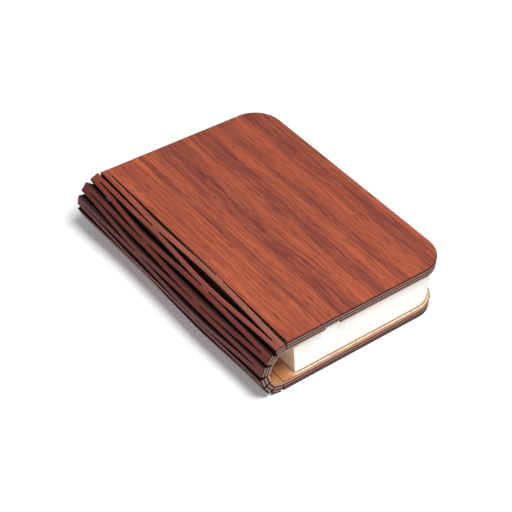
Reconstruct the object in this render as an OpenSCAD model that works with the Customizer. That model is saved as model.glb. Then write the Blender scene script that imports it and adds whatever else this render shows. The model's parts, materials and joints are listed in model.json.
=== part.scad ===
// Folding book lamp, shut: two plywood covers, a slitted spine that bends round
// between them, and a folded paper shade glued to both linings.
// Millimetres. +Z is up, the fore edge is at +X, the tail of the book is at -Y,
// and the origin is under the middle of the shut book.

/* [Covers] */
// Length of the book from tail to head
cover_len = 122; // [112:1:150]
// Width of a cover from its spine slit to its fore edge
cover_w = 82; // [80:1:93]
// Thickness of the shut book
closed_t = 26; // [24:0.2:32]
// Thickness of the outer veneer
skin_t = 0.6; // [0.4:0.1:0.8]
// Thickness of the plywood core
core_t = 3.2; // [2.6:0.1:3.6]
// Thickness of the inner lining
lining_t = 0.6; // [0.4:0.1:0.8]
// Radius of the two fore corners
corner_r = 12.5; // [5:0.5:18]

/* [Spine] */
// Play left between the inner edges of two slats when the book is shut
slit_play = 0.15; // [0.12:0.01:0.3]
// Width of the fine slit down the middle of a slat
fine_slit_w = 0.3; // [0.2:0.05:0.5]
// Length of wood left at the closed end of a slit
end_web_len = 4.5; // [3:0.5:8]
// Length of the bridge that breaks a slit on its way
mid_web_len = 4; // [3:0.5:8]
// Distance from the tail to the bridges between slats, and from the head to
// the bridges inside them
bridge_y = 42; // [38:1:50]
// Play between the two halves of a bridge, across the line it bends on
web_play = 0.3; // [0.2:0.02:0.34]

/* [Paper shade] */
// Distance from the spine slit to the folded edges of the paper
page_start = 6.9; // [6.8:0.1:12]
// Distance from the other edges of the cover to the paper
page_inset = 1.6; // [1:0.1:4]
// Air between two bundles of folds
fold_gap = 0.3; // [0.3:0.05:0.5]
// Thickness of the tape that holds the paper to a lining
tape_t = 0.2; // [0.1:0.05:0.4]
// Margin of bare paper round the tape
tape_margin = 3; // [1:0.5:8]

/* [Charging port] */
// Distance from the spine slit to the middle of the port
port_x = 22.1; // [21:0.1:26]
// Width of the socket's metal shell
socket_w = 7.5; // [7:0.1:8.4]
// Depth of the socket's metal shell
socket_len = 5.5; // [5:0.1:6.4]
// Height of the socket's metal shell
socket_h = 2.2; // [2:0.1:2.4]
// Thickness of the shell's sheet
socket_wall = 0.2; // [0.15:0.05:0.3]
// Thickness of the core's wall in front of the socket
port_wall = 0.8; // [0.5:0.1:1.5]

/* [Electronics] */
// Width of the circuit board
board_w = 20; // [18:0.5:24]
// Length of the circuit board
board_len = 22; // [20:0.5:26]
// Thickness of the circuit board and of the light strip's board
board_t = 0.8; // [0.6:0.1:1]
// Distance from the tail edge to the circuit board
board_inset = 2; // [1.5:0.1:2.5]
// Width of the battery
battery_w = 48; // [42:1:54]
// Length of the battery
battery_len = 72; // [40:1:74]
// Thickness of the foam pad behind the battery
pad_t = 0.4; // [0.2:0.1:0.8]
// Diameter of an insulated lead
lead_d = 0.8; // [0.6:0.1:0.9]
// Room for leads between the board and the battery
lead_room = 6; // [5:0.5:8]
// Wood between the battery and the closing magnets
battery_margin = 4.5; // [3:0.5:6]
// Play round each piece that sits in a pocket
pocket_play = 0.2; // [0.15:0.05:0.3]

/* [Light strip] */
// Distance from the spine slit to the diffuser
strip_x = 1; // [0.8:0.1:1.1]
// Width of the diffuser
diffuser_w = 5.6; // [5.4:0.1:5.7]
// Wall of the diffuser
diffuser_wall = 0.3; // [0.2:0.05:0.4]
// Distance from the tail and the head to the light strip
strip_inset = 12; // [10:1:18]
// Number of lamps on the strip
led_count = 10; // [6:1:12]
// Length of one lamp, along the spine
led_len = 3.5; // [2.8:0.1:4]
// Width of one lamp
led_w = 2.8; // [2:0.1:3.2]
// Height of one lamp
led_h = 0.7; // [0.5:0.1:0.9]
// Air between a lamp and the diffuser
led_air = 0.2; // [0.2:0.1:0.6]

/* [Magnets] */
// Diameter of a closing magnet
magnet_d = 8; // [6:0.5:9]
// Thickness of a closing magnet
magnet_t = 1.6; // [1:0.1:2]
// Distance from the fore edge to the middle of a closing magnet
magnet_edge = 7; // [6:0.5:8]
// Distance from the tail and the head to the middle of a closing magnet
magnet_inset = 25; // [20:1:35]
// Diameter of the magnet that the sensor reads
sensor_magnet_d = 5; // [3:0.5:6]

/* [Hidden] */
$fn = 96;
eps = 0.01;

// Boards
cover_t = skin_t + core_t + lining_t;
lining_top = lining_t;
core_top = lining_t + core_t;

// Spine. The slats hang between pivots that lie in the middle of the board's
// thickness and in the middle of each gap. Slat 1 is next to the top cover.
slats = 6;
cover_bend = 18;
slat_bend = (180 - 2 * cover_bend) / (slats - 1);
hinge_gap = cover_t * tan(slat_bend / 2) + slit_play;
function tilt(i) = cover_bend + (i - 1) * slat_bend;
function drop(i) = i == 0 ? 0 : drop(i - 1) + sin(tilt(i));
pitch = (closed_t - cover_t) / drop(slats);
slat_w = pitch - hinge_gap;
function pivot(i) =
    i == 0
        ? [-hinge_gap / 2, closed_t - cover_t / 2]
        : pivot(i - 1) - pitch * [cos(tilt(i)), sin(tilt(i))];
outer_slat = slats / 2;
spine_reach =
    -pivot(outer_slat)[0]
    - hinge_gap / 2 * cos(tilt(outer_slat))
    + cover_t / 2 * sin(tilt(outer_slat));

// Bridges of the slits between slats, and of the fine slits inside them
gap_web_y = bridge_y;
fine_web_y = cover_len - bridge_y;
ridge_tip = (hinge_gap - web_play) / 2;
ridge_base = ridge_tip - core_t / 2 * tan(slat_bend / 2);
ridge_root = 0.3;

// Place of the slit's edge and of the tail in the model's frame
slit_x = (spine_reach - cover_w) / 2;
tail_y = -cover_len / 2;

// Paper
folds = slats + 2;
paper_room = closed_t - 2 * cover_t - 2 * tape_t;
fold_t = (paper_room - (folds - 1) * fold_gap) / folds;

// Port
port_y = port_wall;
notch_w = socket_w + pocket_play;
notch_h = socket_h - socket_wall;
pocket_roof = 0.5;
pocket_top = core_top - pocket_roof;
shell_chamfer = 0.6;
tab_w = 0.8;
tab_len = 3;
tab_t = 0.25;
tab_inset = 0.5;
tongue_w = 4.6;
tongue_len = 3.7;
tongue_t = 0.6;

// Circuit board. Its far end is nearer the fore edge than the port is.
board_shift = 1.4;
board_x = port_x - board_w / 2 + board_shift;
board_end = board_inset + board_len;
chip_h = 0.9;
chip_inset = 2;
charger_side = 4;
charger_y = 9;
coil_side = 3.2;
coil_y = 12;
switch_size = [3, 1.6];
switch_y = 17;
sensor_size = [3, 1.5];
sensor_row = 7;
sensor_x = board_x + board_w - sensor_size[0] - chip_inset;
sensor_y = board_inset + sensor_row;
light_size = [1.6, 0.8];
light_inset = 1;

// Battery. It stops short of the closing magnets.
battery_t = core_t - pad_t;
battery_x = cover_w - magnet_edge - magnet_d / 2 - battery_margin - battery_w;
battery_y = board_end + lead_room;
lead_step = 1.6;
lead_edge = 2.6;
lead_z = lining_top + board_t / 2;
battery_lead_x = board_x + board_w - lead_edge;
channel_h = board_t + pocket_play;
channel_end = 1;

// Light strip
strip_len = cover_len - 2 * strip_inset;
led_board_w = diffuser_w - 2 * diffuser_wall;
diffuser_h = board_t + led_h + led_air + diffuser_wall;
led_margin = 5;
led_pitch = (strip_len - 2 * led_margin) / (led_count - 1);
strip_lead_inset = 6;
strip_lead_y = board_end - strip_lead_inset;
strip_lead_x = strip_x + diffuser_w / 2;

module board_plan(start, inset, radius) {
    far_x = cover_w - inset;
    near_y = inset;
    far_y = cover_len - inset;
    translate([start, near_y])
        square([far_x - radius - start, far_y - near_y]);
    translate([far_x - radius - eps, near_y + radius])
        square([radius + eps, far_y - near_y - 2 * radius]);
    for (y = [near_y + radius, far_y - radius])
        translate([far_x - radius, y]) circle(radius);
}

// Board frame: x from the spine slit, y from the tail, z from the inner face
// out to the veneer.
module in_top_cover() translate([slit_x, tail_y, closed_t - cover_t]) children();
module in_bottom_cover() translate([slit_x, tail_y, cover_t]) mirror([0, 0, 1]) children();

module layer(from_z, to_z)
    translate([0, 0, from_z])
        linear_extrude(to_z - from_z)
            board_plan(0, 0, corner_r);

module along_y(start, length)
    translate([0, start + length, 0])
        rotate([90, 0, 0])
            linear_extrude(length) children();

// Half of a bridge across a gap: a ridge that stands on the edge of a slat or a
// cover and points at the line that the gap bends on.
module ridge_profile()
    polygon([
        [-ridge_root, -core_t / 2],
        [ridge_base, -core_t / 2],
        [ridge_tip, 0],
        [ridge_base, core_t / 2],
        [-ridge_root, core_t / 2]
    ]);

module ridges() {
    along_y(gap_web_y - mid_web_len / 2, mid_web_len) ridge_profile();
    along_y(cover_len - end_web_len, end_web_len) ridge_profile();
}

module cover_ridges()
    translate([0, 0, lining_t + core_t / 2])
        mirror([1, 0, 0]) ridges();

module magnet_spots()
    for (y = [magnet_inset, cover_len - magnet_inset])
        translate([cover_w - magnet_edge, y, lining_top]) children();

module sensor_spot()
    translate([sensor_x + sensor_size[0] / 2, sensor_y + sensor_size[1] / 2, lining_top])
        children();

module magnet_pockets()
    magnet_spots()
        translate([0, 0, -eps])
            cylinder(d = magnet_d + pocket_play, h = magnet_t + pocket_play + eps);

// Covers
module bottom_cover_skin() {
    color("#7a3626") in_bottom_cover() layer(core_top, cover_t);
}

module bottom_cover_core() {
    color("#b98a62") in_bottom_cover() difference() {
        union() {
            layer(lining_top, core_top);
            cover_ridges();
        }
        magnet_pockets();
        sensor_spot()
            translate([0, 0, -eps])
                cylinder(
                    d = sensor_magnet_d + pocket_play,
                    h = magnet_t + pocket_play + eps
                );
    }
}

module bottom_cover_lining() {
    color("#d9a566") in_bottom_cover() layer(0, lining_top);
}

module top_cover_skin() {
    color("#a04a30") in_top_cover() layer(core_top, cover_t);
}

module port_notch(h)
    translate([port_x - notch_w / 2, -eps, -eps])
        cube([notch_w, port_y + eps * 2, h + eps]);

module socket_room()
    translate([port_x - notch_w / 2, port_y, -eps])
        cube([notch_w, socket_len + pocket_play, pocket_top + eps]);

module board_pocket()
    translate([board_x - pocket_play, board_inset - pocket_play, lining_top - eps])
        cube([
            board_w + 2 * pocket_play,
            board_len + 2 * pocket_play,
            pocket_top - lining_top + eps
        ]);

module battery_window()
    translate([battery_x - pocket_play, battery_y - pocket_play, lining_top - eps])
        cube([
            battery_w + 2 * pocket_play,
            battery_len + 2 * pocket_play,
            core_t + 2 * eps
        ]);

module battery_lead_channel()
    translate([battery_lead_x - lead_d, board_end - channel_end, lining_top - eps])
        cube([lead_step + 2 * lead_d, lead_room + 2 * channel_end, channel_h + eps]);

module strip_lead_channel()
    translate([strip_lead_x - lead_d, strip_lead_y - lead_step, lining_top - eps])
        cube([board_x - strip_lead_x + lead_d + channel_end, 3 * lead_step, channel_h + eps]);

module top_cover_core() {
    color("#b98a62") in_top_cover() difference() {
        union() {
            layer(lining_top, core_top);
            cover_ridges();
        }
        port_notch(notch_h);
        socket_room();
        board_pocket();
        battery_window();
        battery_lead_channel();
        strip_lead_channel();
        magnet_pockets();
    }
}

module top_cover_lining() {
    color("#d9a566") in_top_cover() difference() {
        layer(0, lining_top);
        port_notch(lining_top + eps);
        translate([0, 0, -lining_top]) socket_room();
        translate([strip_lead_x - lead_d, strip_lead_y - lead_d, -eps])
            cube([2 * lead_d, lead_step + 2 * lead_d, lining_top + 2 * eps]);
    }
}

// Magnets
module magnets()
    magnet_spots() cylinder(d = magnet_d, h = magnet_t);

module bottom_magnets() {
    color("silver") in_bottom_cover() magnets();
}

module top_magnets() {
    color("silver") in_top_cover() magnets();
}

module sensor_magnet() {
    color("silver") in_bottom_cover()
        sensor_spot() cylinder(d = sensor_magnet_d, h = magnet_t);
}

// Battery
module battery() {
    color("#b9bcc2") in_top_cover()
        translate([battery_x, battery_y, lining_top])
            cube([battery_w, battery_len, battery_t]);
}

module battery_pad() {
    color("#3a3a3c") in_top_cover()
        translate([battery_x, battery_y, lining_top + battery_t])
            cube([battery_w, battery_len, pad_t]);
}

module battery_leads() {
    color("#b3202a") in_top_cover()
        for (i = [0, 1])
            translate([battery_lead_x + i * lead_step, board_end, lead_z])
                rotate([-90, 0, 0])
                    cylinder(d = lead_d, h = battery_y - board_end);
}

// Circuit board
module circuit_board() {
    cut_w = socket_w + 2 * pocket_play;
    cut_len = port_y + socket_len + pocket_play - board_inset;
    color("#1f6b3a") in_top_cover()
        translate([0, 0, lining_top])
            linear_extrude(board_t)
                difference() {
                    translate([board_x, board_inset]) square([board_w, board_len]);
                    translate([port_x - cut_w / 2, board_inset - eps])
                        square([cut_w, cut_len + eps]);
                }
}

module on_board(x, y)
    in_top_cover() translate([board_x + x, board_inset + y, lining_top + board_t]) children();

module board_chips() {
    color("#26262a") {
        on_board(chip_inset, charger_y) cube([charger_side, charger_side, chip_h]);
        on_board((board_w - coil_side) / 2, coil_y) cube([coil_side, coil_side, chip_h]);
        for (x = [chip_inset, board_w / 2 + chip_inset])
            on_board(x, switch_y) cube([switch_size[0], switch_size[1], chip_h]);
    }
}

module hall_sensor() {
    color("#26262a")
        on_board(sensor_x - board_x, sensor_y - board_inset)
            cube([sensor_size[0], sensor_size[1], chip_h]);
}

module charge_light() {
    color("#e05030")
        on_board(board_w - light_size[0] - light_inset, light_inset)
            cube([light_size[0], light_size[1], chip_h / 2]);
}

// Charging socket
module shell_profile(wall) {
    half = socket_w / 2 - wall;
    polygon([
        [-half + shell_chamfer, wall],
        [half - shell_chamfer, wall],
        [half, wall + shell_chamfer],
        [half, socket_h - wall],
        [-half, socket_h - wall],
        [-half, wall + shell_chamfer]
    ]);
}

module usb_socket() {
    color("#c9ccd0") in_top_cover() translate([port_x, 0, 0]) {
        difference() {
            along_y(port_y, socket_len) shell_profile(0);
            along_y(port_y - eps, socket_len - socket_wall + eps) shell_profile(socket_wall);
        }
        for (side = [0, 1])
            mirror([side, 0, 0])
                translate([
                    socket_w / 2 - socket_wall / 2,
                    board_inset + tab_inset,
                    lining_top + board_t
                ])
                    cube([tab_w, tab_len, tab_t]);
    }
}

module usb_tongue() {
    depth = socket_len - socket_wall;
    color("#1c1c1e") in_top_cover() translate([port_x, 0, 0])
        translate([
            -tongue_w / 2,
            port_y + depth - tongue_len,
            socket_h / 2
        ])
            cube([tongue_w, tongue_len, tongue_t]);
}

// Light strip, under the top cover's lining
module under_lining(x, y) in_top_cover() translate([x, y, 0]) mirror([0, 0, 1]) children();

module led_board() {
    color("#f0efe8")
        under_lining(strip_x + diffuser_wall, strip_inset)
            cube([led_board_w, strip_len, board_t]);
}

module leds() {
    color("#ffd27a")
        for (i = [0 : led_count - 1])
            under_lining(
                strip_x + (diffuser_w - led_w) / 2,
                strip_inset + (strip_len - led_len) / 2
                    + (i - (led_count - 1) / 2) * led_pitch
            )
                translate([0, 0, board_t]) cube([led_w, led_len, led_h]);
}

module led_diffuser() {
    color("#f7f2e2")
        under_lining(strip_x, strip_inset - diffuser_wall)
            difference() {
                cube([diffuser_w, strip_len + 2 * diffuser_wall, diffuser_h]);
                translate([diffuser_wall, diffuser_wall, -eps])
                    cube([led_board_w, strip_len, diffuser_h - diffuser_wall + eps]);
            }
}

module strip_leads() {
    color("#b3202a") in_top_cover()
        for (i = [0, 1])
            translate([strip_lead_x, strip_lead_y + i * lead_step, 0]) {
                cylinder(d = lead_d, h = lead_z);
                translate([0, 0, lead_z]) sphere(d = lead_d);
                translate([0, 0, lead_z])
                    rotate([0, 90, 0])
                        cylinder(d = lead_d, h = board_x - strip_lead_x);
            }
}

// Spine. Slat frame: x across the slat, y from the tail, z out of the spine.
module spine_slat(i) {
    middle = (pivot(i - 1) + pivot(i)) / 2;
    color(i <= slats / 2 ? "#8f4a38" : "#6f4640")
        translate([slit_x + middle[0], tail_y, middle[1]])
            rotate([0, -tilt(i), 0])
                difference() {
                    union() {
                        translate([-slat_w / 2, 0, -cover_t / 2])
                            cube([slat_w, cover_len, cover_t]);
                        for (side = [0, 1])
                            mirror([side, 0, 0])
                                translate([slat_w / 2, 0, 0]) ridges();
                    }
                    fine_slit(end_web_len, fine_web_y - mid_web_len / 2);
                    fine_slit(fine_web_y + mid_web_len / 2, cover_len + eps);
                }
}

module fine_slit(from_y, to_y)
    translate([-fine_slit_w / 2, from_y, -cover_t / 2 - eps])
        cube([fine_slit_w, to_y - from_y, cover_t + 2 * eps]);

// Paper shade. Bundle 1 is taped to the top cover, bundle 8 to the bottom one,
// and bundles 2 to 7 open out with spine slats 1 to 6.
module page_folds(i) {
    color("#f6f2ea")
        translate([
            slit_x,
            tail_y,
            closed_t - cover_t - tape_t - i * fold_t - (i - 1) * fold_gap
        ])
            linear_extrude(fold_t)
                board_plan(page_start, page_inset, corner_r - page_inset);
}

module page_tape()
    translate([0, 0, -tape_t])
        linear_extrude(tape_t)
            board_plan(
                page_start + tape_margin,
                page_inset + tape_margin,
                max(corner_r - page_inset - tape_margin, 1)
            );

module bottom_page_tape() {
    color("#efe9da") in_bottom_cover() page_tape();
}

module top_page_tape() {
    color("#efe9da") in_top_cover() page_tape();
}

bottom_cover_skin();
bottom_cover_core();
bottom_cover_lining();
bottom_magnets();
sensor_magnet();
bottom_page_tape();
top_cover_skin();
top_cover_core();
top_cover_lining();
top_magnets();
top_page_tape();
battery();
battery_pad();
battery_leads();
circuit_board();
board_chips();
hall_sensor();
charge_light();
usb_socket();
usb_tongue();
led_board();
leds();
led_diffuser();
strip_leads();
spine_slat(1);  // spine_slat_1
spine_slat(2);  // spine_slat_2
spine_slat(3);  // spine_slat_3
spine_slat(4);  // spine_slat_4
spine_slat(5);  // spine_slat_5
spine_slat(6);  // spine_slat_6
page_folds(1);  // page_folds_1
page_folds(2);  // page_folds_2
page_folds(3);  // page_folds_3
page_folds(4);  // page_folds_4
page_folds(5);  // page_folds_5
page_folds(6);  // page_folds_6
page_folds(7);  // page_folds_7
page_folds(8);  // page_folds_8
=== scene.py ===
"""Folding book lamp, shut: wooden covers, a slitted spine and a pleated paper shade."""
import json
import math

import bmesh
import bpy
from mathutils import Matrix, Vector


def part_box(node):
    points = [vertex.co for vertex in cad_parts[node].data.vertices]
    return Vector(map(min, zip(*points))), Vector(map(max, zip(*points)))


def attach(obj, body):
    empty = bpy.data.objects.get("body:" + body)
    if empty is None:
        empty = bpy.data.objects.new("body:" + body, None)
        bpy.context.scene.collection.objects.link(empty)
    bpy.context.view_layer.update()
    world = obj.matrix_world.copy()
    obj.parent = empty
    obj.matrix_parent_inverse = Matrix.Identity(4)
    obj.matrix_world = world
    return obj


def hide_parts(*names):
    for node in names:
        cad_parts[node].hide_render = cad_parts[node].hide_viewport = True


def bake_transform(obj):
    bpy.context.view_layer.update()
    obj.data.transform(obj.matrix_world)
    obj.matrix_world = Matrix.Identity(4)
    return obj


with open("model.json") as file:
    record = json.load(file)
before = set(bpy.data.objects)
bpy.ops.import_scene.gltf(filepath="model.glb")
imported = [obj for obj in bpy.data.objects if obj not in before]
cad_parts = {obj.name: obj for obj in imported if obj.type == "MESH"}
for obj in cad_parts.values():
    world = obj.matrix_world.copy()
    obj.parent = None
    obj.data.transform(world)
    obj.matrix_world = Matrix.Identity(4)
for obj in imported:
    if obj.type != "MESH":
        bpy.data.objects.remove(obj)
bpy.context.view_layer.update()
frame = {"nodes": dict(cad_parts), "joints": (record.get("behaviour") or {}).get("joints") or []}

MM = 0.001
scene = bpy.context.scene

# Two places nearer than this count as one, and a cut snaps to points this near
NEAR = 0.01
SNAP = 1e-5
# Edges longer than this run from end to end
LONG_EDGE = 1.0
# A face lies flat when its normal is at least this upright, on a cover and on a strip
COVER_FLAT = 0.4
STRIP_FLAT = 0.5

# Book, in millimetres
COVER_W = 82.0
COVER_LEN = 122.0
CLOSED_T = 26.0
VENEER_T = 0.6
CORE_T = 3.2
LINING_T = 0.6
BOARD_T = VENEER_T + CORE_T + LINING_T
CORNER_R = 12.5
CORNER_STEPS = 18
# the rims are rounded a little, and scorched this far in
RIM_ROUND = 0.14
RIM_STEPS = 2
RIM_INSET = 0.5

# Spine
SLATS = 6
COVER_BEND = 18.0
SLAT_BEND = (180.0 - 2 * COVER_BEND) / (SLATS - 1)
KERF = 0.25
INNER_PLAY = 0.03
# bridges between slats stand this far from the tail, the fine slits' from the head
BRIDGE_Y = 42.0
BRIDGE_LEN = 4.0
# wood left at a slit's closed end, which reaches past the board's own end
END_WEB = 4.5
PAST_END = 1.0
# length over which a slit's round end closes, and the share of its width a bridge fills
SLIT_END = 0.35
WEB_FILL = 0.94
# the strips' long edges are rounded a little; points this near belong to the edge
STRIP_ROUND = 0.08
STRIP_EDGE = STRIP_ROUND * 1.5
STRIP_RIM = RIM_INSET * 0.7
# cuts across a strip, so that it can twist: about this far apart, and this far from its ends
STRIP_STEP = 1.6
STATION_AIR = 0.05

# The slats next to the covers lie this much flatter, and this near their hinges
FLATTER = 6.5
FIRST_NEAR = 0.0
# At the tail the spine is drawn in: shift across and up of each hinge between two slats
TAIL_DRAW = [(0.4, 0.3), (1.1, 0.1), (0.9, 0.1), (1.2, 0.1), (0.5, -0.2)]
# At the head the spine swells: shift across and up, and turn, of each pair of strips
HEAD_SWELL = [(0.6, 1.4, 7.0), (0.0, 2.8, 8.0), (-1.3, 3.2, 8.0), (-2.2, 3.2, 5.0), (-1.5, 1.6, 3.0)]

# Dark bands in the veneer: distance from the spine slit, and half width
DARK_BANDS = [(30.0, 6.5), (47.0, 5.0), (58.5, 2.5), (75.0, 6.0), (16.8, 1.6), (-16.0, 14.0)]

# Charging notch in the top cover's tail edge, up from the inner face
NOTCH_SIDE = 0.8
NOTCH_DEEP = 6.45
NOTCH_TOP = 1.8

# Tape between the shade and the linings, and how far it shows past the paper as a thin dark line of
# painted shadow
TAPE_T = 0.2
TAPE_PAST = 0.3
TAPE_PLAY = 0.01

# Shade: how many panels for each span between two bodies, and the block's distance from the slit and
# the edges
PLEATS_PER_BODY = 6
SHADE_START = 6.9
SHADE_INSET = 1.6
# below the light strip the folds step out, and the block's side leans
SHADE_STEP = 0.4
SHADE_LEAN = 2.0
# air between two panels, and the cuts across one
PANEL_AIR = 0.03
PANEL_COLUMNS = 13
PANEL_CORNER_STEPS = 7
FOLD_ROUND = 0.14
FOLD_STEPS = 2
# unevenness of the panels at the fore edge, the tail and the spine
FORE_UNEVEN = 0.1
TAIL_UNEVEN = 0.07
SPINE_UNEVEN = 0.12

# Camera: lens and film in millimetres, turns in degrees, place in millimetres
LENS = 95.28
FILM_W = 36.0
CAMERA_HEADING = -39.90
CAMERA_TILT = 90.0 - 41.94
CAMERA_ROLL = 3.70
CAMERA_PLACE = (-268.22, -319.13, 379.96)
# nearest and farthest distance that it shows, in metres
CAMERA_REACH = (0.01, 20.0)

# Studio, in metres and watts
KEY_PLACE = (-0.02, -0.34, 0.88)
KEY_TARGET = (0.0, 0.0, 0.01)
KEY_SIZE = 0.35
KEY_POWER = 8.1
FILL_PLACE = (-0.26, -0.60, 0.16)
FILL_TARGET = (-0.03, -0.05, 0.015)
FILL_SIZE = 0.25
FILL_POWER = 0.85
WORLD_LIGHT = 0.18
WHITE = (1.0, 1.0, 1.0, 1.0)
FLOOR_TONE = (0.93, 0.93, 0.94, 1.0)
FLOOR_REACH = 6.0
# the floor glows this much near the book, and fully from the second distance on
GLOW_NEAR = 0.16
GLOW_STARTS = 0.08
GLOW_FULL = 0.5

# Meshes turn sharp from this angle, in degrees
SHARP_FROM = 35.0


# Places read from the frame, in millimetres
skin_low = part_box("top_cover_skin")[0]
slit_x = skin_low.x / MM
tail_y = skin_low.y / MM
hinges = {j["child"]: Vector(j["pos_m"]) / MM for j in frame["joints"]}
chain = ["top_cover"] + [f"spine_slat_{i}" for i in range(1, SLATS + 1)] + ["bottom_cover"]
# the hinge above each slat; the last one joins the bottom cover
pivots = [hinges[upper] for upper in chain[:-1]]
pitch = (pivots[1] - pivots[0]).length
hinge_gap = (slit_x - pivots[0].x) * 2
slit_play = hinge_gap - BOARD_T * math.tan(math.radians(SLAT_BEND / 2))
strip_w = (pitch - hinge_gap - KERF) / 2
spine_len = 2 * SLATS * strip_w + (2 * SLATS + 1) * KERF
socket_low, socket_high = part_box("usb_socket")
notch_from = socket_low.x / MM - slit_x + NOTCH_SIDE
notch_to = socket_high.x / MM - slit_x - NOTCH_SIDE


# Camera and light -----------------------------------------------------------

def make_camera():
    """A long lens from the spine side, above the tail of the book."""
    data = bpy.data.cameras.new("camera")
    data.lens = LENS
    data.sensor_width = FILM_W
    data.clip_start, data.clip_end = CAMERA_REACH
    camera = bpy.data.objects.new("camera", data)
    scene.collection.objects.link(camera)
    turn = Matrix.Rotation(math.radians(CAMERA_HEADING), 4, "Z")
    tilt = Matrix.Rotation(math.radians(CAMERA_TILT), 4, "X")
    roll = Matrix.Rotation(math.radians(CAMERA_ROLL), 4, "Z")
    place = Matrix.Translation(Vector(CAMERA_PLACE) * MM)
    camera.matrix_world = place @ turn @ tilt @ roll
    scene.camera = camera


def aim(obj, place, target):
    """Stands a lamp at a place and turns it to a target."""
    direction = Vector(target) - Vector(place)
    turn = direction.to_track_quat("-Z", "Y").to_matrix().to_4x4()
    obj.matrix_world = Matrix.Translation(Vector(place)) @ turn


def area_lamp(name, place, target, size, power):
    """A square soft white lamp."""
    data = bpy.data.lights.new(name, "AREA")
    data.shape = "SQUARE"
    data.size = size
    data.energy = power
    lamp = bpy.data.objects.new(name, data)
    scene.collection.objects.link(lamp)
    aim(lamp, place, target)


make_camera()
scene.view_settings.view_transform = "Standard"


# Shader wiring ----------------------------------------------------------------

def tone(red, green, blue):
    """Linear colour from screen values of 0 to 255."""
    linear = []
    for value in (red, green, blue):
        share = value / 255.0
        if share <= 0.04045:
            linear.append(share / 12.92)
        else:
            linear.append(((share + 0.055) / 1.055) ** 2.4)
    return (*linear, 1.0)


class Wiring:
    """Adds nodes to a tree and joins their sockets."""

    def __init__(self, tree):
        """Starts on a tree."""
        self.tree = tree

    def put(self, socket, value):
        """Links a socket to a socket, or sets its value."""
        if isinstance(value, bpy.types.NodeSocket):
            self.tree.links.new(value, socket)
        else:
            socket.default_value = value

    def add(self, kind, inputs=None, **settings):
        """A shader node with its settings and its inputs, by name or number."""
        node = self.tree.nodes.new("ShaderNode" + kind)
        for name, value in settings.items():
            setattr(node, name, value)
        for name, value in (inputs or {}).items():
            self.put(node.inputs[name], value)
        return node

    def maths(self, operation, first, second=0.0):
        """The result of a sum on two values."""
        node = self.add("Math", {0: first, 1: second}, operation=operation)
        return node.outputs[0]

    def remap(self, value, low, high, to_low=0.0, to_high=1.0, smooth=False):
        """A value stretched from one range to another, held at its ends."""
        kind = "SMOOTHSTEP" if smooth else "LINEAR"
        node = self.add("MapRange", interpolation_type=kind)
        for name, number in zip(
            ("Value", "From Min", "From Max", "To Min", "To Max"),
            (value, low, high, to_low, to_high),
        ):
            self.put(node.inputs[name], number)
        return node.outputs["Result"]

    def blend(self, factor, first, second):
        """Two colours mixed."""
        node = self.add("Mix", data_type="RGBA")
        self.put(node.inputs["Factor"], factor)
        self.put(node.inputs[6], first)
        self.put(node.inputs[7], second)
        return node.outputs[2]

    def stretch(self, vector, scale):
        """Coordinates scaled."""
        node = self.add("Mapping", {"Vector": vector, "Scale": scale})
        return node.outputs["Vector"]

    def noise(self, vector, scale=1.0, detail=2.0, rough=0.5):
        """Smooth noise from 0 to 1."""
        node = self.add("TexNoise", {
            "Vector": vector, "Scale": scale, "Detail": detail, "Roughness": rough,
        })
        return node.outputs["Fac"]


def new_group(name, inputs, outputs):
    """An empty node group with named sockets: (name, kind, start value)."""
    tree = bpy.data.node_groups.new(name, "ShaderNodeTree")
    for label, kind, value in inputs:
        socket = tree.interface.new_socket(label, in_out="INPUT", socket_type="NodeSocket" + kind)
        if value is not None:
            socket.default_value = value
    for label, kind in outputs:
        tree.interface.new_socket(label, in_out="OUTPUT", socket_type="NodeSocket" + kind)
    start = tree.nodes.new("NodeGroupInput")
    end = tree.nodes.new("NodeGroupOutput")
    return tree, Wiring(tree), start.outputs, end.inputs


def use_group(wiring, tree, inputs):
    """A group placed in a material."""
    node = wiring.tree.nodes.new("ShaderNodeGroup")
    node.node_tree = tree
    for name, value in inputs.items():
        wiring.put(node.inputs[name], value)
    return node.outputs


def new_material(name, roughness=0.5, metallic=0.0, specular=0.5):
    """A material with a plain Principled BSDF, its wiring and its shader."""
    material = bpy.data.materials.new(name)
    material.use_nodes = True
    wiring = Wiring(material.node_tree)
    shader = material.node_tree.nodes["Principled BSDF"]
    shader.inputs["Roughness"].default_value = roughness
    shader.inputs["Metallic"].default_value = metallic
    shader.inputs["Specular IOR Level"].default_value = specular
    return material, wiring, shader


def object_place(wiring):
    """Object coordinates in millimetres."""
    where = wiring.add("TexCoord").outputs["Object"]
    return wiring.stretch(where, (1 / MM,) * 3)


def raise_bumps(wiring, shader, height, depth_mm, strength=1.0):
    """Bump from a height of 0 to 1, as deep as given."""
    bump = wiring.add("Bump", {
        "Strength": strength, "Distance": depth_mm * MM, "Height": height,
    })
    wiring.put(shader.inputs["Normal"], bump.outputs["Normal"])


# Shared effects -----------------------------------------------------------------

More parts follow.
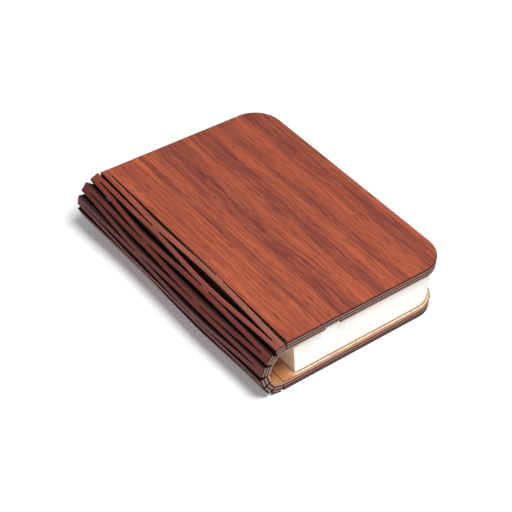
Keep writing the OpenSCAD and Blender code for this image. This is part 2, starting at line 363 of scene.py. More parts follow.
def wood_figure():
    """Bands, year lines, streaks, fibres, pores and hairs that run along the second axis."""
    tree, w, given, out = new_group(
        "wood_figure",
        [("Place", "Vector", None), ("Band Width", "Float", 12.0), ("Seed", "Float", 0.0)],
        [("Bands", "Float"), ("Lines", "Float"), ("Streaks", "Float"),
         ("Fibres", "Float"), ("Pores", "Float"), ("Hairs", "Float")],
    )
    split = w.add("SeparateXYZ", {"Vector": given["Place"]}).outputs

    def sway(per_mm_across, per_mm_along, reach):
        """How far the grain strays across, either way, in millimetres."""
        place = w.add("CombineXYZ", {
            "X": w.maths("MULTIPLY", split["X"], per_mm_across),
            "Y": w.maths("MULTIPLY", split["Y"], per_mm_along),
            "Z": given["Seed"],
        }).outputs[0]
        return w.remap(w.noise(place, 1.0, 2.0), 0.0, 1.0, -reach, reach)

    drift = sway(0.03, 0.012, 4.0)
    shiver = sway(0.25, 0.11, 0.7)
    across = w.maths("ADD", w.maths("ADD", split["X"], drift), shiver)

    def along_grain(per_mm_across, per_mm_along, detail, rough):
        """Noise drawn out along the grain."""
        place = w.add("CombineXYZ", {
            "X": w.maths("MULTIPLY", across, per_mm_across),
            "Y": w.maths("MULTIPLY", split["Y"], per_mm_along),
            "Z": w.maths("ADD", given["Seed"], per_mm_across),
        }).outputs[0]
        return w.noise(place, 1.0, detail, rough)

    width = w.maths("DIVIDE", 1.0, given["Band Width"])
    band_place = w.add("CombineXYZ", {
        "X": w.maths("MULTIPLY", across, width),
        "Y": w.maths("MULTIPLY", split["Y"], 0.006),
        "Z": given["Seed"],
    }).outputs[0]
    bands = w.noise(band_place, 1.0, 3.0, 0.6)
    w.put(out["Bands"], w.remap(bands, 0.36, 0.64, smooth=True))

    # thin dark lines where one year's growth meets the next, fading in and out
    year_width = 2.9
    spread = w.maths("MULTIPLY", along_grain(0.12, 0.004, 2.0, 0.5), 16.0)
    years = w.maths("DIVIDE", w.maths("ADD", across, spread), year_width)
    crest = w.maths("SINE", w.maths("MULTIPLY", years, math.tau))
    line = w.remap(crest, 0.62, 0.99, smooth=True)
    presence = w.remap(along_grain(0.22, 0.016, 2.0, 0.5), 0.42, 0.56)
    w.put(out["Lines"], w.maths("MULTIPLY", line, presence))
    # each mark's fineness across and along, its noise, and where it starts and is full
    marks = {
        "Streaks": (0.55, 0.010, 4.0, 0.64, 0.45, 0.60),
        "Fibres": (1.6, 0.045, 3.0, 0.66, 0.44, 0.57),
        "Pores": (1.8, 0.12, 2.0, 0.5, 0.58, 0.66),
        "Hairs": (2.3, 0.055, 3.0, 0.62, 0.53, 0.61),
    }
    for name, (per_mm_across, per_mm_along, detail, rough, start, full) in marks.items():
        grain = along_grain(per_mm_across, per_mm_along, detail, rough)
        w.put(out[name], w.remap(grain, start, full))
    return tree


def soft_blotches():
    """Faint uneven patches for plain surfaces."""
    tree, w, given, out = new_group(
        "soft_blotches",
        [("Place", "Vector", None), ("Size", "Float", 10.0), ("Seed", "Float", 0.0)],
        [("Patches", "Float"), ("Specks", "Float")],
    )
    place = w.add("VectorMath", {
        0: given["Place"],
        1: w.add("CombineXYZ", {"X": given["Seed"]}).outputs[0],
    }, operation="ADD").outputs[0]
    scale = w.maths("DIVIDE", 1.0, given["Size"])
    w.put(out["Patches"], w.remap(w.noise(place, scale, 3.0, 0.55), 0.3, 0.7))
    fine = w.maths("MULTIPLY", scale, 22.0)
    w.put(out["Specks"], w.remap(w.noise(place, fine, 2.0, 0.6), 0.3, 0.7))
    return tree


WOOD_FIGURE = wood_figure()
SOFT_BLOTCHES = soft_blotches()


# Materials --------------------------------------------------------------------

def board_place(wiring):
    """Place on the unrolled board, or on the shut paper: across, along and depth, in mm."""
    return wiring.add("Attribute", attribute_name="board").outputs["Vector"]


def scorch_and_bounce_share(wiring):
    """The scorch of a place on the wood, and the painted warm bounce light on the paper, from 0 to
    1.
    """
    return wiring.add("Attribute", attribute_name="scorch_and_bounce").outputs["Fac"]


def add_marks(wiring, colour, figure, marks):
    """A colour with marks of the wood's figure laid over it: (mark, strength, tone)."""
    for mark, strength, mark_tone in marks:
        share = wiring.maths("MULTIPLY", figure[mark], strength)
        colour = wiring.blend(share, colour, tone(*mark_tone))
    return colour


def veneer_material(name):
    """Red-brown veneer with dark bands, satin lacquer and scorched cut edges."""
    material, w, shader = new_material(name, specular=0.2)
    place = board_place(w)
    figure = use_group(w, WOOD_FIGURE, {"Place": place, "Band Width": 9.0, "Seed": 3.0})
    split = w.add("SeparateXYZ", {"Vector": place}).outputs
    across = split["X"]
    bands = w.maths("MULTIPLY", figure["Bands"], 0.6)
    for middle, reach in DARK_BANDS:
        away = w.maths("ABSOLUTE", w.maths("SUBTRACT", across, middle))
        band = w.remap(away, reach * 0.4, reach * 1.3, 0.9, 0.0, smooth=True)
        bands = w.maths("MAXIMUM", bands, band)
    colour = w.blend(bands, tone(198, 102, 67), tone(126, 64, 56))
    colour = add_marks(w, colour, figure, [
        ("Streaks", 0.42, (115, 56, 53)),
        ("Lines", 0.60, (97, 50, 48)),
        ("Fibres", 0.50, (200, 103, 70)),
        ("Hairs", 0.40, (107, 52, 48)),
        ("Pores", 0.55, (97, 48, 45)),
    ])
    # a grey-pink haze lies over the spine's strips, and smoke stain together with painted shade
    # darkens them, as the spine faces away from the light; both less at the head
    near_tail = w.remap(split["Y"], COVER_LEN * 0.4, COVER_LEN, 1.0, 0.0)
    grey_haze = w.maths(
        "MINIMUM", w.remap(across, 0.1, -0.3), w.remap(across, -spine_len - 0.1, -spine_len + 0.3)
    )
    grey_haze = w.maths("MULTIPLY", grey_haze, w.remap(near_tail, 0.0, 1.0, 0.02, 0.42))
    colour = w.blend(grey_haze, colour, tone(161, 114, 104))
    # painted shade: this darkening is partly smoke stain and partly the shade on the spine's strips
    smoke_and_shade = w.maths(
        "MINIMUM", w.remap(across, 0.0, -6.0), w.remap(across, -spine_len, -spine_len + 6.0)
    )
    smoke_and_shade = w.maths("MULTIPLY", smoke_and_shade, w.remap(near_tail, 0.0, 1.0, 0.62, 0.86))
    colour = w.blend(smoke_and_shade, colour, w.blend(figure["Bands"], tone(112, 42, 36), tone(74, 36, 35)))
    edge = w.remap(scorch_and_bounce_share(w), 0.2, 0.8, 0.0, 0.7)
    colour = w.blend(edge, colour, tone(71, 38, 33))
    w.put(shader.inputs["Base Color"], colour)
    w.put(shader.inputs["Roughness"], w.remap(figure["Fibres"], 0.0, 1.0, 0.40, 0.52))
    height = w.maths("SUBTRACT", w.maths("MULTIPLY", figure["Fibres"], 0.4), figure["Pores"])
    raise_bumps(w, shader, height, 0.02)
    return material


def ply_material(
    name, pale=(171, 130, 116), low_pale=(171, 130, 116), lining_edge=(171, 132, 112), char_and_shade=0.0
):
    """Laser-cut plywood edge: dark and pale plies, scorched."""
    material, w, shader = new_material(name, specular=0.3)
    place = board_place(w)
    split = w.add("SeparateXYZ", {"Vector": place}).outputs
    waver = w.remap(w.noise(w.stretch(place, (0.5, 0.5, 0.3)), 1.0, 2.0), 0.0, 1.0, -0.07, 0.07)
    depth = w.maths("DIVIDE", w.maths("ADD", split["Z"], waver), BOARD_T)
    ramp = w.add("ValToRGB", {"Fac": depth})
    dark = (26, 13, 12)
    # where each ply starts, as a share of the board from its inner face, and its tone
    layers = [
        (0.0, lining_edge), (0.19, dark), (0.36, pale),
        (0.50, dark), (0.68, low_pale), (0.81, dark),
    ]
    stops = ramp.color_ramp.elements
    stops[0].color = tone(*layers[0][1])
    fade = 0.012
    for (_, inner_tone), (start, outer_tone) in zip(layers, layers[1:]):
        stops.new(start - fade).color = tone(*inner_tone)
        stops.new(start + fade).color = tone(*outer_tone)
    stops[len(stops) - 1].color = tone(*layers[-1][1])
    # scorch stripes left by the cutter stand across the edge
    cut_place = w.stretch(place, (2.6, 2.6, 0.25))
    stripes = w.remap(w.noise(cut_place, 1.0, 3.0, 0.6), 0.3, 0.75)
    colour = w.blend(w.maths("MULTIPLY", stripes, 0.3), ramp.outputs["Color"], tone(78, 50, 45))
    # the slit walls are darkened nearly black: partly char from the cut, partly painted shade in the
    # narrow slits
    if char_and_shade:
        colour = w.blend(char_and_shade, colour, tone(43, 26, 24))
    w.put(shader.inputs["Base Color"], colour)
    w.put(shader.inputs["Roughness"], w.remap(stripes, 0.0, 1.0, 0.62, 0.8))
    raise_bumps(w, shader, stripes, 0.03, 0.6)
    return material


def lining_material():
    """Pale tan inner lining with fine straight grain."""
    material, w, shader = new_material("lining_wood", specular=0.4)
    place = board_place(w)
    figure = use_group(w, WOOD_FIGURE, {"Place": place, "Band Width": 5.0, "Seed": 21.0})
    split = w.add("SeparateXYZ", {"Vector": place}).outputs
    # painted shade: beside the spine, inside the shut book, it is painted darker, and darker still
    # farther from the tail
    other_way = w.maths("SUBTRACT", -spine_len, split["X"])
    on_cover = w.maths("MAXIMUM", split["X"], other_way)
    cavity_shade = w.remap(on_cover, SHADE_START + 1.0, SHADE_START - 3.0)
    colour = w.blend(cavity_shade, tone(239, 216, 183), tone(199, 139, 91))
    deeper_shade = w.maths("MULTIPLY", cavity_shade, w.remap(split["Y"], 0.0, 24.0, 0.0, 0.7))
    colour = w.blend(deeper_shade, colour, tone(135, 83, 48))
    colour = add_marks(w, colour, figure, [
        ("Bands", 0.2, (190, 138, 90)),
        ("Streaks", 0.3, (183, 121, 71)),
        ("Pores", 0.4, (147, 94, 55)),
    ])
    edge = w.remap(scorch_and_bounce_share(w), 0.15, 0.6, 0.0, 0.8)
    colour = w.blend(edge, colour, tone(102, 57, 38))
    w.put(shader.inputs["Base Color"], colour)
    w.put(shader.inputs["Roughness"], w.remap(figure["Fibres"], 0.0, 1.0, 0.46, 0.58))
    raise_bumps(w, shader, figure["Fibres"], 0.015)
    return material


def paper_material():
    """White pleated paper, a little uneven and soft at its folds."""
    material, w, shader = new_material("shade_paper", roughness=0.85, specular=0.25)
    place = board_place(w)
    patches = use_group(w, SOFT_BLOTCHES, {"Place": place, "Size": 9.0, "Seed": 4.0})
    colour = w.blend(patches["Patches"], tone(252, 250, 247), tone(247, 244, 240))
    spread = w.noise(w.stretch(place, (0.3, 0.3, 3.0)), 1.0, 3.0, 0.6)
    colour = w.blend(w.remap(spread, 0.55, 0.8, 0.0, 0.25), colour, tone(232, 227, 219))
    # painted warm light: the folds at the spine are tinted warm, for light bounced from the wooden
    # lining
    colour = w.blend(scorch_and_bounce_share(w), colour, tone(255, 232, 202))
    w.put(shader.inputs["Base Color"], colour)
    shader.inputs["Sheen Weight"].default_value = 0.1
    raise_bumps(w, shader, patches["Specks"], 0.02, 0.5)
    return material


def speckled_material(name, base, other, size, roughness, metallic=0.0):
    """A plain part's finish: two close tones in patches, fine specks and uneven gloss."""
    material, w, shader = new_material(name, roughness, metallic)
    patches = use_group(w, SOFT_BLOTCHES, {"Place": object_place(w), "Size": size})
    mixed = w.blend(patches["Patches"], tone(*base), tone(*other))
    colour = w.blend(w.maths("MULTIPLY", patches["Specks"], 0.3), mixed, tone(*other))
    w.put(shader.inputs["Base Color"], colour)
    rough = w.remap(patches["Specks"], 0.0, 1.0, roughness - 0.06, roughness + 0.08)
    w.put(shader.inputs["Roughness"], rough)
    raise_bumps(w, shader, patches["Specks"], 0.01)
    return material


VENEER = veneer_material("veneer")
PLY = ply_material("ply_edge")
# the bottom cover's edge: the same plies in warmer tones, with the outer pale ply painted darker as
# shade near the floor
LOW_SHADED_PLY = ply_material(
    "ply_edge_shaded_low", pale=(178, 119, 97), low_pale=(104, 74, 71), lining_edge=(199, 145, 116)
)
# slit walls: partly char, partly painted shade inside the narrow slits
SLIT_WALL = ply_material("slit_wall", char_and_shade=0.93)
LINING = lining_material()
PAPER = paper_material()


# Wooden boards ------------------------------------------------------------------

def new_piece(name, bm, materials, body):
    """A finished mesh as a piece, which rides on a body if one is given."""
    mesh = bpy.data.meshes.new(name)
    bmesh.ops.recalc_face_normals(bm, faces=bm.faces)
    bm.to_mesh(mesh)
    bm.free()
    for material in materials:
        mesh.materials.append(material)
    piece = bpy.data.objects.new(name, mesh)
    scene.collection.objects.link(piece)
    mesh.shade_smooth()
    mesh.set_sharp_from_angle(angle=math.radians(SHARP_FROM))
    if body:
        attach(piece, body)
    return piece


def box_between(bm, low, high):
    """A box from its low corner to its high corner."""
    made = bmesh.ops.create_cube(bm, size=1.0)["verts"]
    size = [h - l for l, h in zip(low, high)]
    middle = [(h + l) / 2 for l, h in zip(low, high)]
    bmesh.ops.scale(bm, vec=size, verts=made)
    bmesh.ops.translate(bm, vec=middle, verts=made)


def edges_where(bm, test):
    """Edges whose two ends both pass a test on their place."""
    return [e for e in bm.edges if all(test(v.co) for v in e.verts)]


def edges_along(edges):
    """Those edges that run from tail to head."""
    return [e for e in edges if abs(e.verts[0].co.y - e.verts[1].co.y) > LONG_EDGE]


def round_edges(bm, edges, radius, segments):
    """Edges rounded off."""
    bmesh.ops.bevel(
        bm, geom=edges, offset=radius, segments=segments, profile=0.5,
        affect="EDGES", material=-1, clamp_overlap=True,
    )


def slice_at(bm, axis, places):
    """Cuts all faces by planes across an axis."""
    normal = Vector((0.0, 0.0, 0.0))
    normal[axis] = 1.0
    for place in places:
        bmesh.ops.bisect_plane(
            bm, geom=bm.verts[:] + bm.edges[:] + bm.faces[:], dist=SNAP,
            plane_co=normal * place, plane_no=normal,
        )


def note_board(bm, edge_mark, across=lambda co: co.x):
    """Keeps each point's place on the unrolled board, and its share of scorch on the wood and of
    painted warm bounce light on the paper.
    """
    board = bm.verts.layers.float_vector.new("board")
    scorch_and_bounce = bm.verts.layers.float.new("scorch_and_bounce")
    for vert in bm.verts:
        vert[board] = Vector((across(vert.co), vert.co.y, vert.co.z))
        vert[scorch_and_bounce] = edge_mark(vert)


def soften_rim(bm, level):
    """Rounds the rim at a level, and gives the numbers of the points inside it."""
    rim = edges_where(bm, lambda co: abs(co.z - level) < NEAR)
    round_edges(bm, rim, RIM_ROUND, RIM_STEPS)
    face = max(
        (f for f in bm.faces if abs(f.calc_center_median().z - level) < NEAR),
        key=lambda f: f.calc_area(),
    )
    bmesh.ops.inset_region(bm, faces=[face], thickness=RIM_INSET, use_even_offset=True)
    bm.verts.index_update()
    return {v.index for v in face.verts}


def cover_layer(name, is_top, depth_from, depth_to, materials, node, notch=False):
    """One layer of a cover, from a depth above the inner face to another."""
    bm = bmesh.new()
    box_between(bm, (0, 0, depth_from), (COVER_W, COVER_LEN, depth_to))
    corners = edges_where(bm, lambda co: co.x > COVER_W / 2)
    corners = [e for e in corners if abs(e.verts[0].co.z - e.verts[1].co.z) > NEAR]
    round_edges(bm, corners, CORNER_R, CORNER_STEPS)
    inside = set()
    if depth_to > BOARD_T - NEAR:
        inside = soften_rim(bm, depth_to)
    elif depth_from < NEAR:
        inside = soften_rim(bm, depth_from)
    # flat faces take the first finish, the cut edge the second
    for face in bm.faces:
        face.material_index = 0 if abs(face.normal.z) > COVER_FLAT else 1

    def edge_mark(vert):
        """Only the rim is scorched."""
        return 0.0 if vert.index in inside else 1.0

    def across(co):
        """The bottom cover lies past the spine on the unrolled board."""
        return co.x if is_top else -spine_len - co.x

    note_board(bm, edge_mark, across)
    if notch:
        cut_notch(bm, notch_from, notch_to, NOTCH_DEEP, depth_from, min(NOTCH_TOP, depth_to),
                  NOTCH_TOP > depth_to)
    for vert in bm.verts:
        x, y, depth = vert.co
        height = CLOSED_T - BOARD_T + depth if is_top else BOARD_T - depth
        vert.co = Vector((slit_x + x, tail_y + y, height)) * MM
    body = "top_cover" if is_top else "bottom_cover"
    piece = new_piece(name, bm, materials, body)
    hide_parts(node)


def cut_notch(bm, start, end, deep, low, high, through):
    """Opens the tail edge between two places, up to a depth of the layer."""
    slice_at(bm, 0, (start, end))
    slice_at(bm, 1, (deep,))
    if not through:
        slice_at(bm, 2, (high,))
    doomed = []
    for face in bm.faces:
        c = face.calc_center_median()
        if start < c.x < end and c.y < deep and c.z < high + NEAR:
            doomed.append(face)
    bmesh.ops.delete(bm, geom=doomed, context="FACES")
    rim = [e for e in bm.edges if e.is_boundary]

    def at(x, y, z):
        """The rim's own corner there, or a new one inside the layer."""
        corner = Vector((x, y, z))
        for edge in rim:
            for vert in edge.verts:
                if (vert.co - corner).length < NEAR:
                    return vert
        return bm.verts.new(corner)

    inner = {}
    for x in (start, end):
        for z in (low, high):
            inner[x, z] = at(x, deep, z)
    new_edges = [bm.edges.new((inner[x, low], inner[x, high])) for x in (start, end)]
    tests = [
        lambda co: abs(co.x - start) < NEAR,
        lambda co: abs(co.x - end) < NEAR,
        lambda co: abs(co.y - deep) < NEAR,
    ]
    if not through:
        for x in (start, end):
            new_edges.append(bm.edges.new((at(x, 0.0, high), inner[x, high])))
        new_edges.append(bm.edges.new((inner[start, high], inner[end, high])))
        tests.append(lambda co: abs(co.z - high) < NEAR)
    for test in tests:
        wall = [e for e in rim + new_edges if all(test(v.co) for v in e.verts)]
        made = bmesh.ops.contextual_create(bm, geom=wall)
        for face in made["faces"]:
            face.material_index = 1


for is_top in (True, False):
    side = "top" if is_top else "bottom"
    edge = PLY if is_top else LOW_SHADED_PLY
    skin_from = LINING_T + CORE_T
    cover_layer(
        f"{side}_cover_veneer", is_top, skin_from, BOARD_T,
        [VENEER, edge], f"{side}_cover_skin",
    )
    cover_layer(
        f"{side}_cover_plies", is_top, LINING_T, skin_from,
        [edge, edge], f"{side}_cover_core", notch=is_top,
    )
    cover_layer(
        f"{side}_cover_inside", is_top, 0.0, LINING_T,
        [LINING, edge], f"{side}_cover_lining", notch=is_top,
    )


# Spine strips -------------------------------------------------------------------

def smooth_step(t):
    """0 to 1 with a soft start and end."""
    t = min(max(t, 0.0), 1.0)
    return t * t * (3.0 - 2.0 * t)


def heading(tilt):
    """Way along a slat and way out of it, for its tilt in degrees."""
    angle = math.radians(tilt)
    along = Vector((-math.cos(angle), 0.0, -math.sin(angle)))
    out = Vector((-math.sin(angle), 0.0, math.cos(angle)))
    return along, out


def slat_tilt(slat):
    """A slat's tilt in degrees on the even curve."""
    return COVER_BEND + (slat - 1) * SLAT_BEND


def slat_ends(slat):
    """A slat's upper and lower hinge; the outer slats lie flatter."""
    upper = pivots[slat - 1]
    lower = pivots[slat]
    if slat == 1:
        lower = upper + heading(slat_tilt(slat) - FLATTER)[0] * pitch
    if slat == SLATS:
        upper = lower - heading(slat_tilt(slat) + FLATTER)[0] * pitch
    return upper, lower


def drawn_in(hinge):
    """A hinge at the spine's tail end."""
    if hinge in (0, SLATS):
        return pivots[hinge]
    shift_x, shift_z = TAIL_DRAW[hinge - 1]
    return pivots[hinge] + Vector((shift_x, 0.0, shift_z))


def slat_side(slat, upward, at_tail):
    """A slat's upper or lower hinge, its tilt, and its width against the full one."""
    if at_tail:
        upper, lower = drawn_in(slat - 1), drawn_in(slat)
    else:
        upper, lower = slat_ends(slat)
    across = lower - upper
    tilt = math.degrees(math.atan2(-across.z, -across.x))
    return upper if upward else lower, tilt, across.length / pitch


def pair_side(slat, upward, at_head):
    """The hinge and tilt that a strip shares with the strip across its slit."""
    neighbour = slat - 1 if upward else slat + 1
    hinge = pivots[slat - 1] if upward else pivots[slat]
    if neighbour == 0:
        return hinge, 0.0
    if neighbour > SLATS:
        return hinge, 180.0
    tilt = (slat_tilt(slat) + slat_tilt(neighbour)) / 2
    if at_head:
        shift_x, shift_z, unturn = HEAD_SWELL[min(slat, neighbour) - 1]
        hinge = hinge + Vector((shift_x, 0.0, shift_z))
        tilt -= unturn
    return hinge, tilt


# Each run of a strip: its ends, and the place where it lies as its slat does
FINE_BRIDGE_Y = COVER_LEN - BRIDGE_Y
RUNS = [
    ("tail", 0.0, BRIDGE_Y, 0.0),
    ("middle", BRIDGE_Y, FINE_BRIDGE_Y, FINE_BRIDGE_Y),
    ("head", FINE_BRIDGE_Y, COVER_LEN, FINE_BRIDGE_Y),
]
# Wood left across the slits between slats, and across the fine slits
SLAT_WEBS = [
    (BRIDGE_Y - BRIDGE_LEN / 2, BRIDGE_Y + BRIDGE_LEN / 2),
    (COVER_LEN - END_WEB, COVER_LEN + PAST_END),
]
FINE_WEBS = [
    (-PAST_END, END_WEB),
    (FINE_BRIDGE_Y - BRIDGE_LEN / 2, FINE_BRIDGE_Y + BRIDGE_LEN / 2),
]
STRIP_FINISHES = [VENEER, PLY, LINING, SLIT_WALL]


def web_share(y, webs):
    """1 on a web, 0 on a slit, with round slit ends."""
    share = 0.0
    for start, end in webs:
        near = min(y - start, end - y)
        share = max(share, smooth_step(near / SLIT_END + 1.0))
    return share


def strip_stations(y_from, y_to):
    """Where a strip is cut across, so that it can twist and its slits can end."""
    count = int((y_to - y_from) / STRIP_STEP)
    stations = [y_from + (y_to - y_from) * step / count for step in range(1, count)]
    for start, end in SLAT_WEBS + FINE_WEBS:
        for place in (start - SLIT_END, start - SLIT_END / 2, start, end,
                      end + SLIT_END / 2, end + SLIT_END):
            if y_from + STATION_AIR < place < y_to - STATION_AIR:
                stations.append(place)
    return sorted(stations)


def flat_strip(width, y_from, y_to):
    """A strip before it twists, with a finish for each of its sides."""
    bm = bmesh.new()
    box_between(bm, (0, y_from, 0), (width, y_to, BOARD_T))
    round_edges(bm, edges_along(bm.edges), STRIP_ROUND, 1)
    slice_at(bm, 0, (STRIP_RIM, width - STRIP_RIM))
    slice_at(bm, 1, strip_stations(y_from, y_to))
    for face in bm.faces:
        n = face.normal
        if n.z > STRIP_FLAT:
            finish = VENEER
        elif n.z < -STRIP_FLAT:
            finish = LINING
        elif abs(n.y) > STRIP_FLAT:
            finish = PLY
        else:
            finish = SLIT_WALL
        face.material_index = STRIP_FINISHES.index(finish)
    return bm


def spine_strip(number, run, y_from, y_to, y_still):
    """A third of one spine strip, which twists from its slat to its neighbour."""
    slat = (number + 1) // 2
    upward = number % 2 == 1
    neighbour = slat - 1 if upward else slat + 1
    to_cover = neighbour in (0, SLATS + 1)
    # it ends as a cover lies, or halfway between two slats
    far_y = y_to if y_still == y_from else y_from
    still_near = FIRST_NEAR if to_cover else hinge_gap / 2 - slit_play / 2 + INNER_PLAY / 2
    turned_near = -hinge_gap / 2 + KERF if to_cover else KERF / 2
    width = strip_w + hinge_gap / 2 - still_near
    still_hinge, still_tilt, still_size = slat_side(slat, upward, run == "tail")
    turned_hinge, turned_tilt = pair_side(slat, upward, run == "head")
    slat_web_reach = KERF if to_cover else KERF / 2
    start_across = -(KERF * number + strip_w * (number - 1))
    bm = flat_strip(width, y_from, y_to)

    def on_top_side(a):
        """Whether a place across the strip is in its upper half."""
        return a < width / 2

    def webs_near(a):
        """The bridges on the nearer long edge."""
        return SLAT_WEBS if on_top_side(a) == upward else FINE_WEBS

    def at_edge(a):
        """Whether a place across the strip belongs to a long edge."""
        return min(a, width - a) < STRIP_EDGE

    def edge_mark(vert):
        """The edges are scorched beside a slit, and not on a bridge."""
        if not at_edge(vert.co.x):
            return 0.0
        return 1.0 - web_share(vert.co.y, webs_near(vert.co.x))

    note_board(bm, edge_mark, lambda co: start_across - co.x)
    for vert in bm.verts:
        a, y, depth = vert.co
        share = smooth_step((y - y_still) / (far_y - y_still))
        if at_edge(a):
            reach = slat_web_reach if on_top_side(a) == upward else KERF / 2
            fill = web_share(y, webs_near(a)) * WEB_FILL
            edge = -reach if on_top_side(a) else width + reach
            level = BOARD_T if depth > BOARD_T / 2 else 0.0
            a += (edge - a) * fill
            depth += (level - depth) * fill
        closed = 1.0 - (1.0 - share) ** 2
        near = still_near + (turned_near - still_near) * closed
        hinge = still_hinge.lerp(turned_hinge, share)
        along, out = heading(still_tilt + (turned_tilt - still_tilt) * share)
        size = still_size + (1.0 - still_size) * share
        if upward:
            place = hinge + along * (near + a) * size
        else:
            place = hinge - along * (near + width - a) * size
        place = place + out * (depth - BOARD_T / 2)
        place.y = tail_y + y
        vert.co = place * MM
    piece = new_piece(f"spine_strip_{number}_{run}", bm, STRIP_FINISHES, None)
    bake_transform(piece)
    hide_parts(f"spine_slat_{slat}")


for number in range(1, 2 * SLATS + 1):
    for run, y_from, y_to, y_still in RUNS:
        spine_strip(number, run, y_from, y_to, y_still)


# Paper shade ----------------------------------------------------------------------

shade_low = BOARD_T + TAPE_T
shade_high = CLOSED_T - BOARD_T - TAPE_T
intervals = len(chain) - 1
panels = intervals * PLEATS_PER_BODY
panel_pitch = (shade_high - shade_low) / (panels + 2)
panel_t = panel_pitch - PANEL_AIR
strip_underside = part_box("led_diffuser")[0].z / MM
fore_fold_x = slit_x + COVER_W - SHADE_INSET
shade_radius = CORNER_R - SHADE_INSET
shade_y = COVER_LEN / 2 - SHADE_INSET


def inverse_smooth_step(share):
    """Where smooth_step reaches a share."""
    return 0.5 - math.sin(math.asin(1.0 - 2.0 * share) / 3.0)


def wobble(number, reach):
    """A small steady unevenness from one panel to the next."""
    quick_turn, slow_turn = 2.399, 0.71
    return reach * math.sin(number * quick_turn) * math.cos(number * slow_turn)


def spine_fold_at(level):
    """Where the spine folds lie; the block leans to the spine below the light strip."""
    if level > strip_underside - panel_t:
        return slit_x + SHADE_START
    rise = (level - shade_low) / (strip_underside - shade_low)
    return slit_x + SHADE_START - SHADE_STEP - SHADE_LEAN * rise


def round_sheet(low, high, radius):
    """A thin sheet from its low corner to its high corner, with round fore corners."""
    bm = bmesh.new()
    box_between(bm, low, high)
    corners = [
        e for e in bm.edges
        if all(v.co.x > 0 for v in e.verts)
        and abs(e.verts[0].co.z - e.verts[1].co.z) > (high[2] - low[2]) / 2
    ]
    round_edges(bm, corners, radius, PANEL_CORNER_STEPS)
    return bm


def paper_panel(number, level, spine_x):
    """One flat panel of the shade between two folds, with its flat size."""
    half = panel_t / 2
    # the three edges start at different places in the unevenness
    fore_x = fore_fold_x + wobble(number + 7, FORE_UNEVEN)
    tail = shade_y + wobble(number + 3, TAIL_UNEVEN)
    bm = round_sheet((spine_x, -tail, level - half), (fore_x, tail, level + half), shade_radius)
    spine_side = edges_where(bm, lambda co: co.x < spine_x + NEAR)
    round_edges(bm, edges_along(spine_side), FOLD_ROUND, FOLD_STEPS)
    step = (fore_x - spine_x) / PANEL_COLUMNS
    fold_end = spine_x + 2 * FOLD_ROUND
    slice_at(bm, 0, [fold_end] + [spine_x + step * i for i in range(1, PANEL_COLUMNS)])
    # the spine folds take the painted warm bounce light
    note_board(bm, lambda vert: 1.0 if vert.co.x < fold_end - FOLD_ROUND / 2 else 0.0)
    bmesh.ops.scale(bm, vec=(MM, MM, MM), verts=bm.verts)
    return bm, fore_x - spine_x, 2 * tail


for panel in range(panels + 2):
    level = shade_high - (panel + 0.5) * panel_pitch
    spine_fold_x = spine_fold_at(level) + wobble(panel, SPINE_UNEVEN)
    bm, panel_width, panel_len = paper_panel(panel, level, spine_fold_x)
    if panel in (0, panels + 1):
        side = "top" if panel == 0 else "bottom"
        piece = new_piece(f"shade_end_{side}", bm, [PAPER], f"{side}_cover")
        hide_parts("page_folds_1" if panel == 0 else f"page_folds_{SLATS + 2}")
        continue
    fold = panel - 1
    interval = fold // PLEATS_PER_BODY
    before = (fold % PLEATS_PER_BODY) / PLEATS_PER_BODY
    after = before + 1.0 / PLEATS_PER_BODY
    # even folds lie at the fore edge, odd ones at the spine
    fore_w, spine_w = (before, after) if fold % 2 == 0 else (after, before)
    piece = new_piece(f"shade_panel_{panel:02d}", bm, [PAPER], None)
    t_spine = inverse_smooth_step(spine_w)
    t_fore = inverse_smooth_step(fore_w)
    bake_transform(piece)
    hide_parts(f"page_folds_{interval + 1}", f"page_folds_{interval + 2}")


# The brown tape that glues the shade's end panels to the linings shows past the paper as a thin dark
# line, painted shadow where the paper stands on the lining
TAPE_SHADOW_LINE = speckled_material("shade_tape_painted_shadow", (147, 114, 76), (123, 93, 59), 4.0, 0.5)
for side, low in (("bottom", BOARD_T), ("top", shade_high)):
    bm = round_sheet(
        (slit_x + SHADE_START + TAPE_PAST, -shade_y - TAPE_PAST, low + TAPE_PLAY),
        (fore_fold_x + TAPE_PAST, shade_y + TAPE_PAST, low + TAPE_T - TAPE_PLAY),
        shade_radius + TAPE_PAST,
    )
    bmesh.ops.scale(bm, vec=(MM, MM, MM), verts=bm.verts)
    piece = new_piece(f"shade_tape_painted_shadow_{side}", bm, [TAPE_SHADOW_LINE], f"{side}_cover")
    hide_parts(f"{side}_page_tape")


# Finishes of the other parts -------------------------------------------------------

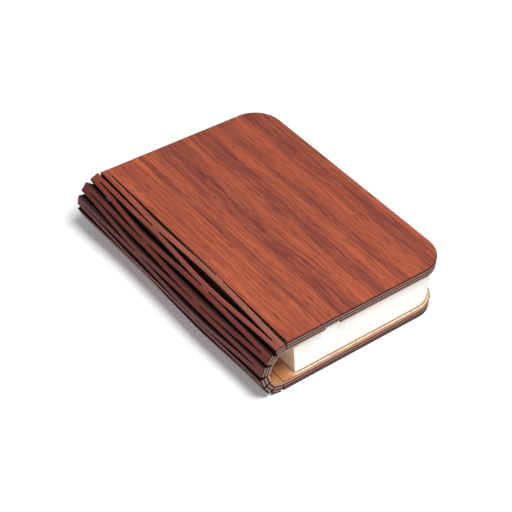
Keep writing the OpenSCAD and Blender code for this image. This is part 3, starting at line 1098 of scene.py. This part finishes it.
# The nodes that share a finish, its two tones, patch size, roughness and metal
FINISHES = {
    "battery_foil": (["battery"], (186, 190, 196), (158, 162, 168), 5.0, 0.35, 0.9),
    "pad_foam": (["battery_pad"], (58, 58, 60), (40, 40, 42), 1.5, 0.9, 0.0),
    "lead_sheath": (["battery_leads", "strip_leads"], (166, 36, 30), (140, 26, 24), 2.0, 0.4, 0.0),
    "board_mask": (["circuit_board"], (28, 92, 58), (20, 74, 46), 3.0, 0.35, 0.0),
    "chip_body": (["board_chips", "hall_sensor"], (34, 34, 36), (22, 22, 24), 1.0, 0.5, 0.0),
    "signal_lens": (["charge_light"], (212, 44, 36), (176, 30, 26), 1.0, 0.25, 0.0),
    "socket_shell": (["usb_socket"], (226, 228, 232), (204, 206, 210), 1.5, 0.4, 0.5),
    "socket_tongue": (["usb_tongue"], (228, 228, 226), (212, 212, 210), 1.0, 0.45, 0.0),
    "strip_mask": (["led_board"], (240, 240, 238), (226, 226, 224), 3.0, 0.4, 0.0),
    "lamp_phosphor": (["leds"], (246, 226, 120), (236, 206, 84), 1.2, 0.5, 0.0),
    "strip_diffuser": (["led_diffuser"], (236, 238, 240), (222, 226, 230), 4.0, 0.4, 0.0),
    "magnet_nickel": (
        ["top_magnets", "bottom_magnets", "sensor_magnet"],
        (188, 188, 190), (160, 160, 164), 2.5, 0.25, 1.0,
    ),
}
for finish, (nodes, base, other, size, rough, metal) in FINISHES.items():
    material = speckled_material(finish, base, other, size, rough, metal)
    for node in nodes:
        mesh = frame["nodes"][node].data
        mesh.materials.clear()
        mesh.materials.append(material)


# Floor, world and lamps -------------------------------------------------------------

def make_floor():
    """A wide pale floor that stays white but keeps the shadow."""
    bm = bmesh.new()
    bmesh.ops.create_grid(bm, x_segments=1, y_segments=1, size=FLOOR_REACH)
    mesh = bpy.data.meshes.new("floor")
    bm.to_mesh(mesh)
    bm.free()
    floor = bpy.data.objects.new("floor", mesh)
    scene.collection.objects.link(floor)
    material, w, shader = new_material("floor_paper", roughness=0.9, specular=0.0)
    shader.inputs["Base Color"].default_value = FLOOR_TONE
    shader.inputs["Emission Color"].default_value = WHITE
    seen = w.add("LightPath").outputs["Is Camera Ray"]
    # far from the book the floor glows more, so that it stays white to the horizon
    away = w.add("VectorMath", {0: w.add("TexCoord").outputs["Object"]}, operation="LENGTH")
    glow = w.remap(away.outputs["Value"], GLOW_STARTS, GLOW_FULL, GLOW_NEAR, 1.0)
    w.put(shader.inputs["Emission Strength"], w.maths("MULTIPLY", seen, glow))
    mesh.materials.append(material)


def make_world():
    """Soft grey light all round, and white where it is seen."""
    world = bpy.data.worlds.new("studio")
    scene.world = world
    world.use_nodes = True
    w = Wiring(world.node_tree)
    background = world.node_tree.nodes["Background"]
    path = w.add("LightPath").outputs
    seen = w.maths("MAXIMUM", path["Is Camera Ray"], path["Is Transmission Ray"])
    background.inputs["Color"].default_value = WHITE
    w.put(background.inputs["Strength"], w.remap(seen, 0.0, 1.0, WORLD_LIGHT, 1.0))


make_floor()
make_world()
area_lamp("key", KEY_PLACE, KEY_TARGET, KEY_SIZE, KEY_POWER)
area_lamp("fill", FILL_PLACE, FILL_TARGET, FILL_SIZE, FILL_POWER)
